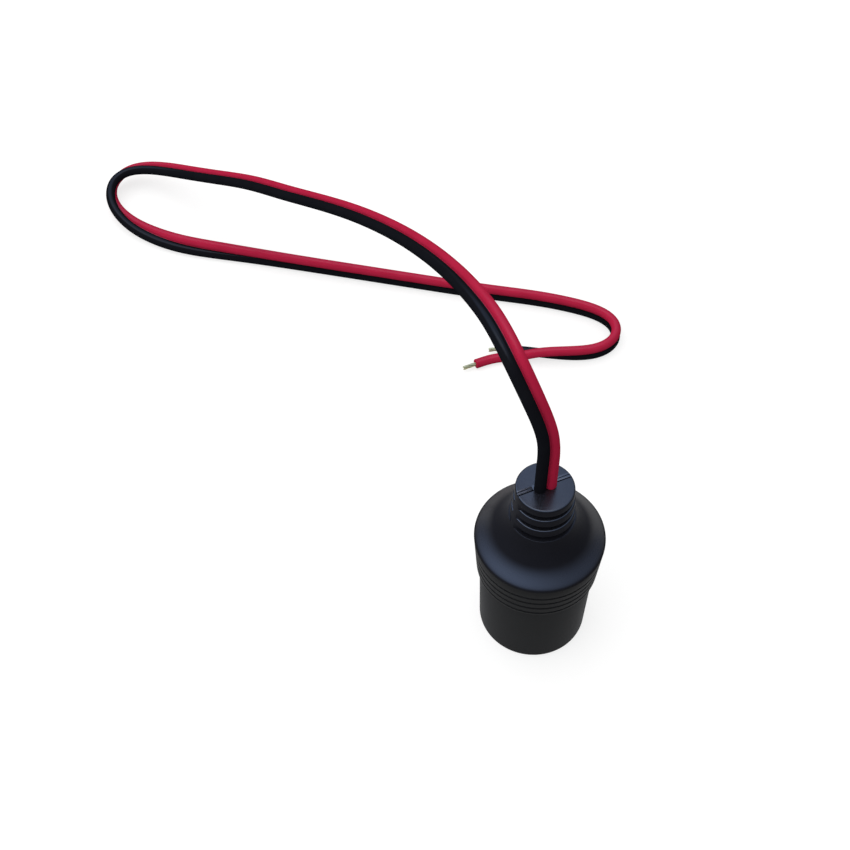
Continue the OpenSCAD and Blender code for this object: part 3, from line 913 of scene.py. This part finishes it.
def lead_pvc():
    """Soft PVC, red on one wire and black on the other, with faint lines along the lead."""
    finish = Finish("twin_lead_pvc", {
        "Specular IOR Level": 0, "Coat Roughness": LEAD_COAT_ROUGHNESS, "Coat IOR": COAT_IOR})
    clouds = finish.noise(5 * MM, detail=3)
    is_black = finish.uv.part("X") > UV_MIDDLE
    finish.set("Base Color", is_black.mix(clouds.mix(*LEAD_RED), clouds.mix(*LEAD_BLACK)))
    finish.set("Roughness", clouds.about(0.35, spread=0.07))
    finish.set("Coat Weight", LEAD_COAT * finish.facing.part("Z").rise(*LEAD_FACING))
    finish.bump(finish.uv.scaled(LEAD_LINES).noise(1, rough=0.6), LINE_DEPTH)
    return finish.material


def wire_pvc(name, low, high):
    """The insulation of a wire inside the boot."""
    finish = Finish(name, {"Specular IOR Level": 0.45})
    clouds = finish.noise(4 * MM, detail=3)
    finish.set("Base Color", clouds.mix(low, high))
    finish.set("Roughness", clouds.about(0.42, spread=0.06))
    finish.bump(finish.noise(0.3 * MM), 0.01 * MM)
    return finish.material


def metal(name, low, high, roughness, mark, stretch=None):
    """Bare or plated metal with marks from its making and a slightly uneven shine."""
    finish = Finish(name, {"Metallic": 1.0})
    marks = finish.noise(mark, detail=3, rough=0.6, stretch=stretch)
    finish.set("Base Color", finish.noise(3 * MM).mix(low, high))
    finish.set("Roughness", marks.about(roughness, spread=0.08))
    finish.bump(marks, 0.01 * MM)
    return finish.material


def pressed_board(name, low, high, roughness, speck):
    """Pressed fibre or phenolic with small specks."""
    finish = Finish(name, {"Specular IOR Level": 0.4})
    specks = finish.noise(speck, detail=4, rough=0.7)
    finish.set("Base Color", specks.mix(low, high))
    finish.set("Roughness", specks.about(roughness, spread=0.06))
    finish.bump(specks, 0.03 * MM)
    return finish.material


MATERIALS = {
    "barrel_plastic": barrel_plastic(),
    "boot_plastic": boot_plastic(),
    "plated_steel": metal(
        "nickel_plate", (0.66, 0.65, 0.62, 1), (0.74, 0.73, 0.70, 1),
        roughness=0.26, mark=0.2 * MM, stretch=(1, 1, 0.08)),
    "phenolic": pressed_board(
        "brown_phenolic", (0.07, 0.034, 0.018, 1), (0.11, 0.056, 0.032, 1),
        roughness=0.5, speck=0.4 * MM),
    "brass": metal(
        "pressed_brass", (0.72, 0.54, 0.24, 1), (0.82, 0.64, 0.32, 1),
        roughness=0.3, mark=0.3 * MM, stretch=(1, 1, 0.3)),
    "fibre": pressed_board(
        "red_fibre", (0.24, 0.05, 0.035, 1), (0.36, 0.09, 0.065, 1),
        roughness=0.8, speck=0.3 * MM),
    "tinned_brass": metal(
        "tinned_tag", (0.66, 0.65, 0.60, 1), (0.78, 0.77, 0.74, 1),
        roughness=0.38, mark=0.3 * MM),
    "tinned_copper": metal(
        "tinned_strand", (0.36, 0.32, 0.17, 1), (0.58, 0.52, 0.28, 1),
        roughness=0.42, mark=0.2 * MM),
    "solder": metal(
        "soft_solder", (0.52, 0.52, 0.52, 1), (0.66, 0.66, 0.67, 1),
        roughness=0.36, mark=0.5 * MM),
    "red_pvc": wire_pvc("red_wire_pvc", (0.50, 0.010, 0.035, 1), (0.62, 0.018, 0.055, 1)),
    "black_pvc": wire_pvc("black_wire_pvc", (0.008, 0.009, 0.010, 1), (0.016, 0.018, 0.019, 1)),
    "lead_pvc": lead_pvc(),
}


def paint(piece, slot):
    """Gives a piece its slot's material and no other."""
    piece.data.materials.clear()
    piece.data.materials.append(MATERIALS[slot])


for subpart in frame["record"]["subparts"]:
    paint(frame["nodes"][subpart["node"]], subpart["material_slot"])
paint(lead, "lead_pvc")
paint(red_strands, "tinned_copper")
paint(black_strands, "tinned_copper")
paint(boot, "boot_plastic")
paint(barrel, "barrel_plastic")


# Floor, light and background

FLOOR_SIZE = 60
FLOOR_GREY = 0.38
FLOOR_ROUGHNESS = 0.9
# Glow that brings the floor up to white where it is seen or mirrored
FLOOR_GLOW = 0.7


def light_path(start, ray):
    """1 for rays of this kind and 0 for the rest."""
    return start.node("ShaderNodeLightPath", output=f"Is {ray} Ray")


def make_floor():
    """A pale floor that the camera sees as white, apart from the soft shadow on it."""
    bpy.ops.object.select_all(action="DESELECT")
    bpy.ops.mesh.primitive_plane_add(size=FLOOR_SIZE)
    floor = bpy.context.object
    floor.name = "floor"
    material = bpy.data.materials.new("pale_floor")
    material.use_nodes = True
    tree = material.node_tree
    start = Value(tree)
    shader = tree.nodes["Principled BSDF"]
    shader.inputs["Base Color"].default_value = (FLOOR_GREY, FLOOR_GREY, FLOOR_GREY, 1)
    shader.inputs["Roughness"].default_value = FLOOR_ROUGHNESS
    shader.inputs["Specular IOR Level"].default_value = 0
    shown = light_path(start, "Camera") + light_path(start, "Glossy") + light_path(start, "Transmission")
    tree.links.new((FLOOR_GLOW * shown).socket, shader.inputs["Emission Color"])
    shader.inputs["Emission Strength"].default_value = 1
    floor.data.materials.append(material)


# Light that falls on everything, and more of it from the left, turned this far towards the camera.
# Limits are a way's share towards a side: 1 is straight at it, 0 square to it and -1 straight away.
FILL = (0.6, 0.6, 0.6, 1)
LEFT_FILL = (1.8, 1.85, 1.85, 1)
LEFT_FILL_TURN = math.radians(30)
LEFT_FILL_LIMITS = (0.6, 1)
# What shines in the surfaces: a wide cool softbox overhead, weaker towards the camera, above a dim room
OVERHEAD = (0.92, 1.24, 2.0, 1)
OVERHEAD_NEAR = (0.85, 1.15, 1.85, 1)
NEAR_LIMITS = (0, 0.6)
ROOM = (0.2, 0.25, 0.38, 1)
ROOM_LIMITS = (0, 0.6)
# The softbox's brightest part leans this far from straight overhead to the camera's left
ZENITH = (2.2, 2.5, 3.2, 1)
ZENITH_LEAN = math.radians(8)
ZENITH_LIMITS = (0.85, 0.98)
# Shares that make the rest of it brighter on the camera's left
LEFT_SHARE = (1.35, 1.35, 1.35, 1)
RIGHT_SHARE = (0.48, 0.48, 0.48, 1)
SHARE_LIMITS = (-1, 1)
# What the camera sees behind everything
BACKDROP = (0.955, 0.955, 0.955, 1)


def softbox(way):
    """What shines in the surfaces from each way."""
    overhead = way.towards(-level_ahead).rise(*NEAR_LIMITS).mix(OVERHEAD, OVERHEAD_NEAR)
    shares = way.towards(-level_right).rise(*SHARE_LIMITS).mix(RIGHT_SHARE, LEFT_SHARE)
    brightest = math.cos(ZENITH_LEAN) * Vector((0, 0, 1)) - math.sin(ZENITH_LEAN) * level_right
    above = way.towards(brightest).rise(*ZENITH_LIMITS).mix(overhead.scaled(shares), ZENITH)
    return way.part("Z").rise(*ROOM_LIMITS).mix(ROOM, above)


def make_world():
    """Light from all sides, a softbox that shines in the plastic, and a white background."""
    world = bpy.data.worlds.new("studio")
    bpy.context.scene.world = world
    world.use_nodes = True
    tree = world.node_tree
    start = Value(tree)
    way = start.node("ShaderNodeTexCoord", output="Generated")
    left = -math.cos(LEFT_FILL_TURN) * level_right - math.sin(LEFT_FILL_TURN) * level_ahead
    fill = way.towards(left).rise(*LEFT_FILL_LIMITS).mix(FILL, LEFT_FILL)
    lit = light_path(start, "Glossy").mix(fill, softbox(way))
    seen = light_path(start, "Camera") + light_path(start, "Transmission")
    background = tree.nodes["Background"]
    tree.links.new(seen.mix(lit, BACKDROP).socket, background.inputs["Color"])
    background.inputs["Strength"].default_value = 1.0


def make_lamp(name, place, aim, size, power):
    """A soft square lamp that looks at the object and doesn't show in its shine."""
    bpy.ops.object.light_add(type="AREA", location=place)
    lamp = bpy.context.object
    lamp.name = name
    lamp.data.size = size
    lamp.data.energy = power
    lamp.rotation_euler = (Vector(aim) - Vector(place)).to_track_quat("-Z", "Y").to_euler()
    lamp.visible_glossy = False


make_floor()
make_world()
make_lamp("overhead_lamp", place=(-0.2, 0.3, 1.1), aim=(0, 60 * MM, 30 * MM), size=1.4, power=8)

bpy.context.scene.view_settings.view_transform = "Standard"
